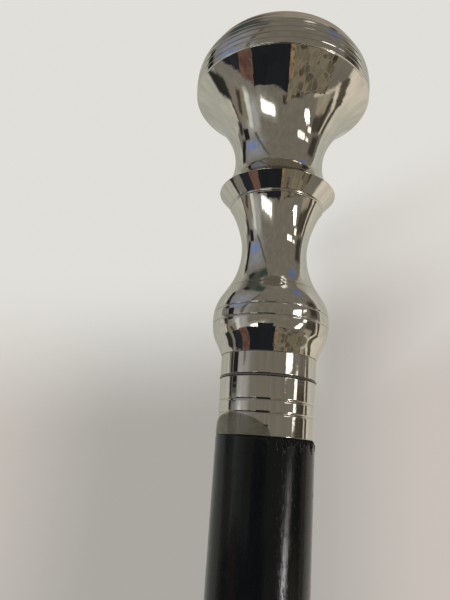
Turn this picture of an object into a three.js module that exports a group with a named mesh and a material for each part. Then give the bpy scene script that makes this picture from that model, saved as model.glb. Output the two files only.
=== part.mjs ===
// Knob handle walking stick.
// A turned, plated handle is stacked on a threaded rod and screws into a lacquered wooden shaft
// that stands on a rubber tip. Millimetres, +Z up, origin at the middle of the foot.

import * as THREE from 'three';

// Whole stick
const stickLength = 930;
const facetCount = 36;
const curveSteps = 6;

// Fits
const spigotClearance = 0.1;
const spigotEndGap = 0.2;
const rodClearance = 0.2;
const threadClearance = 0.08;
const glueGap = 0.1;
const seamGap = 0.1;
const socketGap = 0.15;
const washerClearance = 0.3;
const nutCornerClearance = 0.1944465;
const tipWasherClearance = 0.55;

// Threaded rod through the handle, its nut and washers
const rodRadius = 4;
const threadPitch = 1.25;
const engagedTurns = 12;
const rodTipChamfer = 0.8;
const nutWall = 2.42; // at the flats, which are then 13 across
const nutHeight = 6.5;
const lockWasherInset = 0.4;
const lockWasherThickness = 2;
const lockWasherGap = 1.4;
const clampWasherThickness = 1.6;

// Spigots that centre one turned piece on the next
const spigotRadius = 6;
const spigotHeight = 1.5;

// Knob cap: grooved band below a low dome
const capHeight = 16.4;
const capShoulderHeight = 8.7;
const capShoulderRadius = 18.95;
const capWall = 1.6;
const rimRadius = 20.6;
const bandLineCount = 4;
const bandFirstLineHeight = 1.35;
const bandLinePitch = 1.37;
const bandLineWidth = 0.5;
const bandLineDepth = 0.25;
const capBossWall = 2.92;
const capBossHeight = 9.5;
const capBossBoreDepth = 7.5;

// Knob bell: trumpet between the rim and the flange
const bellHeight = 25;
const bellNeckHeight = 7.6;
const bellNeckRadius = 10.1;
const bellFootStep = 0.3;
const bellRimStep = 0.2;
const bellFloorHeight = 11.5;
const bellFloorRadius = 6.5;
const bellWall = 1.9;
const registerWidth = 0.9;
const registerHeight = 1.2;

// Flange ring with a small bead at its foot
const flangeHeight = 3.7;
const flangeEdgeRadius = 13.15;
const flangeFootRadius = 10.35;
const flangeBeadHeight = 0.6;
const flangeBeadBulge = 0.2;

// Waist
const waistHeight = 19.8;
const waistNarrowHeight = 9.6;
const waistNarrowRadius = 7.2;
const waistFootRadius = 10;

// Ball
const ballHeight = 14.4;
const ballWidestHeight = 7.9;
const ballWidestRadius = 12.4;
const ballFootLip = 0.1;
const ballSpigotWall = 1.1;
const ballSpigotHeight = 3;
const ballLineHeights = [6.7, 9.1];
const turnedLineWidth = 0.4;
const turnedLineDepth = 0.18;

// Seat ring, joint washer and collar
const seatRingHeight = 4.35;
const seatRingWall = 1.05;
const jointWasherThickness = 0.3;
const jointWasherLip = 0.15;
const collarHeight = 11.25;
const collarFlare = 0.15;
const collarWall = 1.3;
const collarLineHeights = [4.25, 6.75];

// Shaft and threaded insert
const shaftTipRadius = 8;
const shoulderStep = 0.25;
const shoulderChamfer = 0.25;
const tenonTopGap = 0.2;
const tenonRimWall = 1.1;
const insertWall = 1.92;
const insertLength = 20;
const insertHeadThickness = 1;
const insertBoreSpare = 2;

// Rubber tip and the steel washer in its socket
const tipHeight = 42;
const tipSoleThickness = 8;
const tipFootFlare = 3.6;
const tipFootHeight = 3;
const tipFootChamfer = 0.7;
const tipNeckWall = 2.75;
const tipNeckHeight = 20;
const tipLipStep = 0.6;
const tipLipHeight = 4;
const tipLipChamfer = 0.8;
const treadDepth = 1.5;
const treadWidth = 1.3;
const treadRadii = [5, 9.2];
const tipWasherThickness = 1.2;

// Shares that shape the curves, as [radius share, height share] of each curve's own box
const capShoulderShares = [[-0.24, 0.4], [-0.1, 0.72]];
const capDomeShares = [[0.08, 0.5], [0.38, 1]];
const bellFlareShares = [[0.55, 0.19], [1, 0.52]];
const bellTrumpetShares = [[0, 0.36], [0.42, 0.72]];
const bellBowlShares = [[0.48, 0.385], [0.875, 0.74]];
const waistLowerShares = [[0.66, 0.3], [1, 0.62]];
const waistUpperShares = [[0, 0.3], [0.5, 0.75]];
const ballLowerShares = [[0.47, 0.41], [1, 0.42]];
const ballUpperShares = [[0, 0.5], [0.68, 0.79]];
const tipFlareShares = [[0.25, 0.35], [1, 0.6]];

// Heights of the stack above the foot, worked out from the top down
const capBase = stickLength - capHeight;
const bellBase = capBase - bellHeight;
const flangeBase = bellBase - flangeHeight;
const waistBase = flangeBase - waistHeight;
const ballBase = waistBase - ballHeight;
const seatRingBase = ballBase - seatRingHeight;
const jointWasherBase = seatRingBase - seamGap - jointWasherThickness;
const collarTop = jointWasherBase - seamGap;
const shoulderHeight = collarTop - collarHeight;
const tenonTop = collarTop - tenonTopGap;
const shaftFoot = tipSoleThickness + tipWasherThickness;
const nutRecessTop = seatRingBase + nutHeight + lockWasherThickness + clampWasherThickness;
const capBossTop = capBase + capHeight - capWall;
const capBossBase = capBossTop - capBossHeight;
const rodTop = capBossBase + capBossBoreDepth - spigotEndGap;
const rodFoot = collarTop - engagedTurns * threadPitch;

// Radii shared by mating pieces
const rodBoreRadius = rodRadius + rodClearance;
const threadBoreRadius = rodRadius + threadClearance;
const spigotBoreRadius = spigotRadius + spigotClearance;
const spigotBoreDepth = spigotHeight + spigotEndGap;
const bellFootRadius = flangeEdgeRadius - bellFootStep;
const capMouthRadius = rimRadius - capWall;
const registerRadius = capMouthRadius - spigotClearance;
const capBossRadius = threadBoreRadius + capBossWall;
const capBossSeatRadius = capBossRadius + glueGap;

// Radii from the rod outwards: nut, recess, ball's spigot, seat ring, collar, shaft and insert
const nutCornerRadius = (threadBoreRadius + nutWall) / Math.cos(Math.PI / 6);
const nutRecessRadius = nutCornerRadius + nutCornerClearance;
const clampWasherRadius = nutRecessRadius - washerClearance;
const lockWasherRadius = clampWasherRadius - lockWasherInset;
const ballSpigotRadius = nutRecessRadius + ballSpigotWall;
const seatRingBoreRadius = ballSpigotRadius + spigotClearance;
const seatRingRadius = seatRingBoreRadius + seatRingWall;
const ballFootRadius = seatRingRadius + ballFootLip;
const jointWasherRadius = seatRingRadius + jointWasherLip;
const collarTopRadius = seatRingRadius;
const collarFootRadius = collarTopRadius - collarFlare;
const collarBoreRadius = collarFootRadius - collarWall;
const shaftTopRadius = collarFootRadius + shoulderStep;
const tenonRadius = collarBoreRadius - glueGap;
const insertHeadRadius = tenonRadius - tenonRimWall - glueGap;
const insertRadius = threadBoreRadius + insertWall;

// Radii of the rubber tip, from the shaft's lower end outwards
const tipSocketRadius = shaftTipRadius + socketGap;
const tipWasherRadius = tipSocketRadius - tipWasherClearance;
const tipNeckRadius = tipSocketRadius + tipNeckWall;
const tipLipRadius = tipNeckRadius + tipLipStep;
const tipFootRadius = tipNeckRadius + tipFootFlare;

const platedMetal = { color: 0xc9c1b4, roughness: 0.14, metalness: 1 };
const plainSteel = { color: 0x8d8f92, roughness: 0.4, metalness: 1 };
const brassMetal = { color: 0xb89452, roughness: 0.35, metalness: 1 };
const blackLacquer = { color: 0x15110f, roughness: 0.2, metalness: 0 };
const blackFibre = { color: 0x1b1a19, roughness: 0.8, metalness: 0 };
const blackRubber = { color: 0x222222, roughness: 0.9, metalness: 0 };

const stick = new THREE.Group();

function addPiece(name, geometry, look) {
  const piece = new THREE.Mesh(geometry, new THREE.MeshStandardMaterial(look));
  piece.name = name;
  stick.add(piece);
}

// Revolves an outline of [radius, height] points about Z.
// Outlines run up the outside and down the inside, or from the axis out and back to it.
function turned(outline) {
  const points = outline.map(([radius, height]) => new THREE.Vector2(radius, height));
  const geometry = new THREE.LatheGeometry(points, facetCount);
  geometry.rotateX(Math.PI / 2);
  return geometry;
}

function turnedRing(outline) {
  return turned([...outline, outline[0]]);
}

// A flat plate between two heights
function plate(shape, base, thickness) {
  const geometry = new THREE.ExtrudeGeometry(shape, {
    depth: thickness,
    bevelEnabled: false,
    curveSegments: facetCount / 2,
  });
  geometry.translate(0, 0, base);
  return geometry;
}

// A cubic curve whose two middle points are shares of the box between its ends
function shapedCurve(start, end, shares) {
  const middle = shares.map(([radiusShare, heightShare]) => new THREE.Vector2(
    start[0] + radiusShare * (end[0] - start[0]),
    start[1] + heightShare * (end[1] - start[1]),
  ));
  return new THREE.CubicBezierCurve(
    new THREE.Vector2(...start), middle[0], middle[1], new THREE.Vector2(...end),
  );
}

function curvePoints(curve, steps = curveSteps) {
  return curve.getPoints(steps).map((point) => [point.x, point.y]);
}

// Parameter of the point of a curve at a height, for a curve that only climbs
function shareAtHeight(curve, height) {
  let low = 0;
  let high = 1;
  for (let halving = 0; halving < 40; halving += 1) {
    const middle = (low + high) / 2;
    if (curve.getPoint(middle).y < height) low = middle;
    else high = middle;
  }
  return low;
}

// A curve's points with a V line turned into it at each height
function curveWithLines(curve, heights, width, depth, steps) {
  const points = curvePoints(curve, steps);
  const linePoints = heights.flatMap((height) => {
    const radiusAt = (level) => curve.getPoint(shareAtHeight(curve, level)).x;
    return [
      [radiusAt(height - width / 2), height - width / 2],
      [radiusAt(height) - depth, height],
      [radiusAt(height + width / 2), height + width / 2],
    ];
  });
  const clearOfLines = points.filter(([, level]) => (
    heights.every((height) => Math.abs(level - height) > width)
  ));
  return [...clearOfLines, ...linePoints].sort((one, other) => one[1] - other[1]);
}

function knobCap() {
  const shoulder = [capShoulderRadius, capBase + capShoulderHeight];
  const band = shapedCurve([rimRadius, capBase], shoulder, capShoulderShares);
  const dome = shapedCurve(shoulder, [0, capBase + capHeight], capDomeShares);
  const lineHeights = Array.from({ length: bandLineCount }, (_, index) => (
    capBase + bandFirstLineHeight + index * bandLinePitch
  ));
  const innerShoulder = [capShoulderRadius - capWall, capBase + capShoulderHeight - capWall];
  const innerDome = shapedCurve(innerShoulder, [capBossSeatRadius, capBossTop], capDomeShares);
  addPiece('knob_cap', turned([
    [0, capBossTop],
    ...curvePoints(innerDome).reverse(),
    [capMouthRadius, capBase + registerHeight + spigotEndGap],
    [capMouthRadius, capBase],
    ...curveWithLines(band, lineHeights, bandLineWidth, bandLineDepth, curveSteps),
    ...curvePoints(dome).slice(1),
  ]), platedMetal);
}

function capBoss() {
  const boreTop = capBossBase + capBossBoreDepth;
  addPiece('cap_boss', turned([
    [0, boreTop],
    [threadBoreRadius, boreTop],
    [threadBoreRadius, capBossBase],
    [capBossRadius, capBossBase],
    [capBossRadius, capBossTop],
    [0, capBossTop],
  ]), brassMetal);
}

function knobBell() {
  const rimTop = bellBase + bellHeight;
  const bellRim = [rimRadius - bellRimStep, rimTop];
  const neck = [bellNeckRadius, bellBase + bellNeckHeight];
  const flare = shapedCurve([bellFootRadius, bellBase], neck, bellFlareShares);
  const trumpet = shapedCurve(neck, bellRim, bellTrumpetShares);
  const registerBore = registerRadius - registerWidth;
  const bowl = shapedCurve(
    [registerBore, rimTop - bellWall], [bellFloorRadius, bellBase + bellFloorHeight], bellBowlShares,
  );
  addPiece('knob_bell', turnedRing([
    ...curvePoints(flare),
    ...curvePoints(trumpet).slice(1),
    [registerRadius, rimTop],
    [registerRadius, rimTop + registerHeight],
    [registerBore, rimTop + registerHeight],
    ...curvePoints(bowl),
    [rodBoreRadius, bellBase + bellFloorHeight],
    [rodBoreRadius, bellBase + spigotBoreDepth],
    [spigotBoreRadius, bellBase + spigotBoreDepth],
    [spigotBoreRadius, bellBase],
  ]), platedMetal);
}

function flangeRing() {
  addPiece('flange_ring', turnedRing([
    [flangeFootRadius, flangeBase],
    [flangeFootRadius + flangeBeadBulge, flangeBase + flangeBeadHeight / 2],
    [flangeFootRadius, flangeBase + flangeBeadHeight],
    [flangeEdgeRadius, bellBase],
    [spigotRadius, bellBase],
    [spigotRadius, bellBase + spigotHeight],
    [rodBoreRadius, bellBase + spigotHeight],
    [rodBoreRadius, flangeBase + spigotBoreDepth],
    [spigotBoreRadius, flangeBase + spigotBoreDepth],
    [spigotBoreRadius, flangeBase],
  ]), platedMetal);
}

function waistStem() {
  const narrow = [waistNarrowRadius, waistBase + waistNarrowHeight];
  const lower = shapedCurve([waistFootRadius, waistBase], narrow, waistLowerShares);
  const upper = shapedCurve(narrow, [flangeFootRadius, flangeBase], waistUpperShares);
  addPiece('waist_stem', turnedRing([
    ...curvePoints(lower),
    ...curvePoints(upper).slice(1),
    [spigotRadius, flangeBase],
    [spigotRadius, flangeBase + spigotHeight],
    [rodBoreRadius, flangeBase + spigotHeight],
    [rodBoreRadius, waistBase + spigotBoreDepth],
    [spigotBoreRadius, waistBase + spigotBoreDepth],
    [spigotBoreRadius, waistBase],
  ]), platedMetal);
}

function ballSection() {
  const widest = [ballWidestRadius, ballBase + ballWidestHeight];
  const lower = shapedCurve([ballFootRadius, ballBase], widest, ballLowerShares);
  const upper = shapedCurve(widest, [waistFootRadius, waistBase], ballUpperShares);
  const heights = ballLineHeights.map((height) => ballBase + height);
  const lowerLines = heights.filter((height) => height < widest[1]);
  const upperLines = heights.filter((height) => height > widest[1]);
  const spigotFoot = ballBase - ballSpigotHeight;
  addPiece('ball_section', turnedRing([
    ...curveWithLines(lower, lowerLines, turnedLineWidth, turnedLineDepth, curveSteps),
    ...curveWithLines(upper, upperLines, turnedLineWidth, turnedLineDepth, curveSteps).slice(1),
    [spigotRadius, waistBase],
    [spigotRadius, waistBase + spigotHeight],
    [rodBoreRadius, waistBase + spigotHeight],
    [rodBoreRadius, nutRecessTop],
    [nutRecessRadius, nutRecessTop],
    [nutRecessRadius, spigotFoot],
    [ballSpigotRadius, spigotFoot],
    [ballSpigotRadius, ballBase],
  ]), platedMetal);
}

function seatRing() {
  addPiece('seat_ring', turnedRing([
    [seatRingRadius, seatRingBase],
    [seatRingRadius, ballBase],
    [seatRingBoreRadius, ballBase],
    [seatRingBoreRadius, seatRingBase],
  ]), platedMetal);
}

function tieRod() {
  addPiece('tie_rod', turned([
    [0, rodFoot],
    [rodRadius - rodTipChamfer, rodFoot],
    [rodRadius, rodFoot + rodTipChamfer],
    [rodRadius, rodTop],
    [0, rodTop],
  ]), plainSteel);
}

function clampNut() {
  const hexagon = new THREE.Shape(Array.from({ length: 6 }, (_, corner) => new THREE.Vector2(
    nutCornerRadius * Math.cos(corner * Math.PI / 3),
    nutCornerRadius * Math.sin(corner * Math.PI / 3),
  )));
  hexagon.holes.push(new THREE.Path().absarc(0, 0, threadBoreRadius, 0, 2 * Math.PI, true));
  addPiece('clamp_nut', plate(hexagon, seatRingBase, nutHeight), plainSteel);
}

function lockWasher() {
  const outerHalfGap = Math.asin(lockWasherGap / 2 / lockWasherRadius);
  const innerHalfGap = Math.asin(lockWasherGap / 2 / rodBoreRadius);
  const splitRing = new THREE.Shape();
  splitRing.absarc(0, 0, lockWasherRadius, outerHalfGap, 2 * Math.PI - outerHalfGap, false);
  splitRing.absarc(0, 0, rodBoreRadius, 2 * Math.PI - innerHalfGap, innerHalfGap, true);
  addPiece('lock_washer', plate(splitRing, seatRingBase + nutHeight, lockWasherThickness), plainSteel);
}

function clampWasher() {
  const base = nutRecessTop - clampWasherThickness;
  addPiece('clamp_washer', turnedRing([
    [clampWasherRadius, base],
    [clampWasherRadius, nutRecessTop],
    [rodBoreRadius, nutRecessTop],
    [rodBoreRadius, base],
  ]), plainSteel);
}

function jointWasher() {
  const top = jointWasherBase + jointWasherThickness;
  addPiece('joint_washer', turnedRing([
    [jointWasherRadius, jointWasherBase],
    [jointWasherRadius, top],
    [collarBoreRadius, top],
    [collarBoreRadius, jointWasherBase],
  ]), blackFibre);
}

function collarSleeve() {
  const wall = new THREE.LineCurve(
    new THREE.Vector2(collarFootRadius, shoulderHeight),
    new THREE.Vector2(collarTopRadius, collarTop),
  );
  const heights = collarLineHeights.map((height) => shoulderHeight + height);
  addPiece('collar_sleeve', turnedRing([
    ...curveWithLines(wall, heights, turnedLineWidth, turnedLineDepth, 1),
    [collarBoreRadius, collarTop],
    [collarBoreRadius, shoulderHeight],
  ]), platedMetal);
}

function threadedInsert() {
  const headBase = tenonTop - insertHeadThickness;
  const foot = tenonTop - insertLength;
  addPiece('threaded_insert', turnedRing([
    [insertRadius, foot],
    [insertRadius, headBase],
    [insertHeadRadius, headBase],
    [insertHeadRadius, tenonTop],
    [threadBoreRadius, tenonTop],
    [threadBoreRadius, foot],
  ]), brassMetal);
}

function shaft() {
  const headSeat = tenonTop - insertHeadThickness;
  const boreFoot = tenonTop - insertLength - insertBoreSpare;
  addPiece('shaft', turned([
    [0, shaftFoot],
    [shaftTipRadius, shaftFoot],
    [shaftTopRadius, shoulderHeight - shoulderChamfer],
    [shaftTopRadius - shoulderChamfer, shoulderHeight],
    [tenonRadius, shoulderHeight],
    [tenonRadius, tenonTop],
    [insertHeadRadius + glueGap, tenonTop],
    [insertHeadRadius + glueGap, headSeat],
    [insertRadius + glueGap, headSeat],
    [insertRadius + glueGap, boreFoot],
    [0, boreFoot],
  ]), blackLacquer);
}

function rubberTip() {
  const flare = shapedCurve(
    [tipFootRadius, tipFootHeight], [tipNeckRadius, tipNeckHeight], tipFlareShares,
  );
  const treads = treadRadii.flatMap((radius) => [
    [radius, 0],
    [radius, treadDepth],
    [radius + treadWidth, treadDepth],
    [radius + treadWidth, 0],
  ]);
  addPiece('rubber_tip', turned([
    [0, 0],
    ...treads,
    [tipFootRadius - tipFootChamfer, 0],
    [tipFootRadius, tipFootChamfer],
    ...curvePoints(flare),
    [tipNeckRadius, tipHeight - tipLipHeight],
    [tipLipRadius, tipHeight - tipLipHeight + tipLipChamfer],
    [tipLipRadius, tipHeight - tipLipChamfer],
    [tipLipRadius - tipLipChamfer, tipHeight],
    [tipSocketRadius, tipHeight],
    [tipSocketRadius, tipSoleThickness],
    [0, tipSoleThickness],
  ]), blackRubber);
}

function tipWasher() {
  addPiece('tip_washer', turned([
    [0, tipSoleThickness],
    [tipWasherRadius, tipSoleThickness],
    [tipWasherRadius, shaftFoot],
    [0, shaftFoot],
  ]), plainSteel);
}

knobCap();
capBoss();
knobBell();
flangeRing();
waistStem();
ballSection();
seatRing();
tieRod();
clampWasher();
lockWasher();
clampNut();
jointWasher();
collarSleeve();
threadedInsert();
shaft();
rubberTip();
tipWasher();

export default stick;
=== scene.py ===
import math

import bpy
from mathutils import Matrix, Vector, noise


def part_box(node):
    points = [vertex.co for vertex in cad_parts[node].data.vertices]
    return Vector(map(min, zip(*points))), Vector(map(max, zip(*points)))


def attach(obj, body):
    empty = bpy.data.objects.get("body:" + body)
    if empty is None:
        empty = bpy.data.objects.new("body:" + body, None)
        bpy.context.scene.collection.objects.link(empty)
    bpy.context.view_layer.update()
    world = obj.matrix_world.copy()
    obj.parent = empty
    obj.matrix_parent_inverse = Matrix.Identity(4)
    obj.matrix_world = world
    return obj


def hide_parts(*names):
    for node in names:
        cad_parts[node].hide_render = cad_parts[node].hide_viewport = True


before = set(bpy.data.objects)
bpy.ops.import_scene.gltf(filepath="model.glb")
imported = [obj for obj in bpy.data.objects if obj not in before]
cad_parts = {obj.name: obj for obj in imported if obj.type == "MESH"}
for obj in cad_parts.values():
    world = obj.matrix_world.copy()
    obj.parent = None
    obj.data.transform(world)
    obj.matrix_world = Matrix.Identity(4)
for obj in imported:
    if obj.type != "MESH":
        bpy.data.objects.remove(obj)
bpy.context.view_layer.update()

mm = 0.001
print("frame loaded:", len(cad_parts), "nodes")


# ---- heights of the pieces, read from the frame, in millimetres
def nodeSpan(node):
    low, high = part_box(node)
    return low.z / mm, high.z / mm


capBase, capTop = nodeSpan("knob_cap")
bellBase = nodeSpan("knob_bell")[0]
flangeBase = nodeSpan("flange_ring")[0]
waistBase = nodeSpan("waist_stem")[0]
seatBase, ballBase = nodeSpan("seat_ring")
recessTop = nodeSpan("clamp_washer")[1]
shoulder, collarTop = nodeSpan("collar_sleeve")

fits = dict(rodBore=4.2, spigot=6.0, spigotHeight=1.5, spigotBore=6.1, spigotDepth=1.7)


# ---- camera, close below the knob and just under the shoulder's height, looking up
cameraView = dict(away=113.11, belowShoulder=4.54, yaw=-5.15, pitch=16.33, roll=4.31, lens=32.4)


def placeCamera():
    bpy.ops.object.camera_add()
    camera = bpy.context.object
    camera.name = "photoCamera"
    place = (0, -cameraView["away"] * mm, (shoulder - cameraView["belowShoulder"]) * mm)
    yaw, pitch, roll = (math.radians(cameraView[turn]) for turn in ("yaw", "pitch", "roll"))
    ahead = Vector((math.sin(yaw) * math.cos(pitch), math.cos(yaw) * math.cos(pitch), math.sin(pitch)))
    side = Vector((math.cos(yaw), -math.sin(yaw), 0))
    up = side.cross(ahead)
    right = math.cos(roll) * side + math.sin(roll) * up
    upright = -math.sin(roll) * side + math.cos(roll) * up
    for row in range(3):
        for column, value in enumerate((right[row], upright[row], -ahead[row], place[row])):
            camera.matrix_world[row][column] = value
    camera.data.lens = cameraView["lens"]
    camera.data.sensor_width = 36
    camera.data.clip_start = 0.005
    camera.data.clip_end = 60
    bpy.context.scene.camera = camera


placeCamera()
print("camera placed")


# ---- outlines, as (radius, height) in millimetres
def curvePoints(start, end, shares, steps):
    middle = [[start[k] + share[k] * (end[k] - start[k]) for k in (0, 1)] for share in shares]
    posts = [start, *middle, end]
    points = []
    for step in range(steps + 1):
        t = step / steps
        weights = ((1 - t) ** 3, 3 * (1 - t) ** 2 * t, 3 * (1 - t) * t * t, t ** 3)
        points.append(tuple(sum(w * post[k] for w, post in zip(weights, posts)) for k in (0, 1)))
    return points


def linePoints(start, end, steps):
    return [tuple(start[k] + (end[k] - start[k]) * step / steps for k in (0, 1)) for step in range(steps + 1)]


def radiusAt(points, height):
    for low, high in zip(points, points[1:]):
        if low[1] <= height <= high[1] and high[1] > low[1]:
            return low[0] + (height - low[1]) / (high[1] - low[1]) * (high[0] - low[0])
    return points[-1][0]


cuts = dict(steps=12, lip=0.66, clear=0.8)  # the lips' points and the clear stretch, as shares of a line's width


def cutLine(points, height, width, depth):  # a turned line with soft lips
    line = []
    for step in range(cuts["steps"] + 1):
        offset = (step / cuts["steps"] - 0.5) * width
        cut = depth * (0.5 + 0.5 * math.cos(math.tau * offset / width))
        line.append((radiusAt(points, height + offset) - cut, height + offset))
    lips = [(radiusAt(points, height + lip * width), height + lip * width) for lip in (-cuts["lip"], cuts["lip"])]
    below = [p for p in points if p[1] < height - width * cuts["clear"]]
    above = [p for p in points if p[1] > height + width * cuts["clear"]]
    return below + lips[:1] + line + lips[1:] + above


# degrees, millimetres, share of the shorter side, share of the reach
corners = dict(leastTurn=24, leastSide=1e-6, sideShare=0.4, lead=0.2)


def softCorners(outline, radius, steps=5):  # rounds every corner that turns more than leastTurn
    s = corners
    soft = [outline[0]]
    for before, corner, after in zip(outline, outline[1:], outline[2:]):
        inward = Vector(corner) - Vector(before)
        outward = Vector(after) - Vector(corner)
        tooShort = min(inward.length, outward.length) < s["leastSide"]
        if tooShort or math.degrees(inward.angle(outward)) < s["leastTurn"]:
            soft.append(corner)
            continue
        reach = min(radius, s["sideShare"] * inward.length, s["sideShare"] * outward.length)
        a = Vector(corner) - inward.normalized() * reach
        b = Vector(corner) + outward.normalized() * reach
        soft.append(tuple(a - inward.normalized() * reach * s["lead"]))
        for step in range(steps + 1):
            t = step / steps
            soft.append(tuple((1 - t) ** 2 * a + 2 * (1 - t) * t * Vector(corner) + t * t * b))
        soft.append(tuple(b + outward.normalized() * reach * s["lead"]))
    soft.append(outline[-1])
    return soft


def deselectAll():
    if bpy.context.object and bpy.context.object.mode != "OBJECT":
        bpy.ops.object.mode_set(mode="OBJECT")
    bpy.ops.object.select_all(action="DESELECT")


def applyTransform():
    bpy.ops.object.transform_apply(location=True, rotation=True, scale=True)


turning = dict(sides=144, wireMerge=1e-7, merge=8e-7, smoothAngle=32)  # merges in metres, the angle in degrees


# draws the outline as a wire from one point, as a lathe template, and spins it about the stick's axis
def turnPiece(name, outline, sides=turning["sides"]):
    deselectAll()
    start = outline[0]
    bpy.ops.mesh.primitive_plane_add(size=mm, location=(start[0] * mm, 0, start[1] * mm))
    piece = bpy.context.object
    piece.name = name
    piece.data.name = name
    applyTransform()
    bpy.ops.object.mode_set(mode="EDIT")
    bpy.ops.mesh.select_mode(type="VERT")
    bpy.ops.mesh.select_all(action="SELECT")
    bpy.ops.mesh.merge(type="CENTER")
    for last, point in zip(outline, outline[1:]):
        step = ((point[0] - last[0]) * mm, 0, (point[1] - last[1]) * mm)
        bpy.ops.mesh.extrude_region_move(TRANSFORM_OT_translate={"value": step})
    bpy.ops.mesh.select_all(action="SELECT")
    bpy.ops.mesh.remove_doubles(threshold=turning["wireMerge"])
    bpy.ops.mesh.spin(steps=sides, angle=math.tau, center=(0, 0, 0), axis=(0, 0, 1))
    bpy.ops.mesh.select_all(action="SELECT")
    bpy.ops.mesh.remove_doubles(threshold=turning["merge"])
    bpy.ops.mesh.normals_make_consistent(inside=False)
    bpy.ops.object.mode_set(mode="OBJECT")
    bpy.ops.object.shade_smooth_by_angle(angle=math.radians(turning["smoothAngle"]))
    return piece


slack = 0.01  # for picking vertices by their radius, in millimetres


def axisDistance(place):  # in millimetres
    return math.hypot(place.x, place.y) / mm


def pullIn(vertex, cut):  # moves a vertex towards the axis, by millimetres
    share = 1 - cut / axisDistance(vertex.co)
    vertex.co.x *= share
    vertex.co.y *= share


def held(value):  # between 0 and 1
    return max(0.0, min(1.0, value))


# how far the painted shade and grime reach above and below a joint, in millimetres, and how strong they are inside a
# piece
shadeReach = dict(joint=0.15, thin=0.12, washer=0.1, shoulder=0.3)
insideShade = 0.4


# an attribute that is 1 in turned lines and joints, insideShade inside the piece and 0 elsewhere; the metal's colour
# darkens by it, as painted shade and grime
def markLines(piece, lines, sizes):
    shade = piece.data.attributes.new("lineShade", "FLOAT", "POINT")
    for vertex, entry in zip(piece.data.vertices, shade.data):
        height = vertex.co.z / mm
        if axisDistance(vertex.co) < sizes["insideRadius"]:
            entry.value = insideShade
            continue
        entry.value = max([max(0.0, 1 - abs(height - line) / reach) for line, reach in lines] + [0.0])


def finishPiece(piece, body, slotName, material, *nodes):
    piece.data.materials.clear()
    piece.data.materials.append(material)
    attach(piece, body)
    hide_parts(*nodes)
    print(piece.name, len(piece.data.polygons), "faces")


# ---- a short way to place and link shader nodes
class Graph:
    def __init__(self, tree):
        self.tree = tree

    def add(self, kind, **settings):
        node = self.tree.nodes.new(kind)
        for key, value in settings.items():
            setattr(node, key, value)
        return node

    def set(self, socket, value):
        if hasattr(value, "node"):
            self.tree.links.new(value, socket)
        else:
            socket.default_value = value

    def calc(self, operation, *values, clamp=False):
        node = self.add("ShaderNodeMath", operation=operation, use_clamp=clamp)
        for socket, value in zip(node.inputs, values):
            self.set(socket, value)
        return node.outputs[0]

    def times(self, *values, clamp=False):
        return self.calc("MULTIPLY", *values, clamp=clamp)

    def plus(self, *values, clamp=False):
        return self.calc("ADD", *values, clamp=clamp)

    def minus(self, *values):
        return self.calc("SUBTRACT", *values)

    def vector(self, operation, *values):
        node = self.add("ShaderNodeVectorMath", operation=operation)
        for socket, value in zip(node.inputs, values):
            self.set(socket, value)
        return node.outputs["Value"] if operation == "LENGTH" else node.outputs[0]

    def mix(self, share, one, other, blend="MIX"):
        node = self.add("ShaderNodeMix", data_type="RGBA", blend_type=blend)
        for socket, value in ((node.inputs[0], share), (node.inputs[6], one), (node.inputs[7], other)):
            self.set(socket, value)
        return node.outputs[2]

    def remap(self, value, low, high, toLow=0.0, toHigh=1.0, smooth=True):
        node = self.add("ShaderNodeMapRange", interpolation_type="SMOOTHSTEP" if smooth else "LINEAR")
        for socket, entry in zip(node.inputs, (value, low, high, toLow, toHigh)):
            self.set(socket, entry)
        return node.outputs[0]

    def linear(self, *values):
        return self.remap(*values, smooth=False)

    def noise(self, vector, scale, detail=3.0, roughness=0.55, distortion=0.0):
        node = self.add("ShaderNodeTexNoise")
        self.set(node.inputs["Vector"], vector)
        values = {"Scale": scale, "Detail": detail, "Roughness": roughness, "Distortion": distortion}
        for name, value in values.items():
            self.set(node.inputs[name], value)
        return node.outputs[0]

    def scaled(self, vector, x, y, z):  # stretches a pattern, each way by a value or a socket
        parts = self.add("ShaderNodeSeparateXYZ")
        join = self.add("ShaderNodeCombineXYZ")
        self.set(parts.inputs[0], vector)
        for axis, value in enumerate((x, y, z)):
            self.set(join.inputs[axis], self.calc("MULTIPLY", parts.outputs[axis], value))
        return join.outputs[0]


def makeGroup(name, inputs, outputs):
    group = bpy.data.node_groups.new(name, "ShaderNodeTree")
    for label, default in inputs:
        kind = "NodeSocketVector" if default is None else "NodeSocketFloat"
        socket = group.interface.new_socket(name=label, in_out="INPUT", socket_type=kind)
        if default is not None:
            socket.default_value = default
    for label in outputs:
        group.interface.new_socket(name=label, in_out="OUTPUT", socket_type="NodeSocketFloat")
    graph = Graph(group)
    return group, graph, graph.add("NodeGroupInput").outputs, graph.add("NodeGroupOutput").inputs


turningPattern = dict(wanderScale=90.0, breakScale=160.0, breaks=(0.35, 0.7), waveStretch=1.7)
handlingPattern = dict(smears=(0.38, 0.68), slant=(0.5, 0.9, 0.3), stretch=(1.0, 0.06, 0.5), scratches=(0.66, 0.72))
grainPattern = dict(
    broadScale=0.35, fineScale=1.6, broadShare=0.6, fineShare=0.4, shortening=4.0, fleckScale=1.1,
    flecks=(0.5, 0.68),
)


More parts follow.
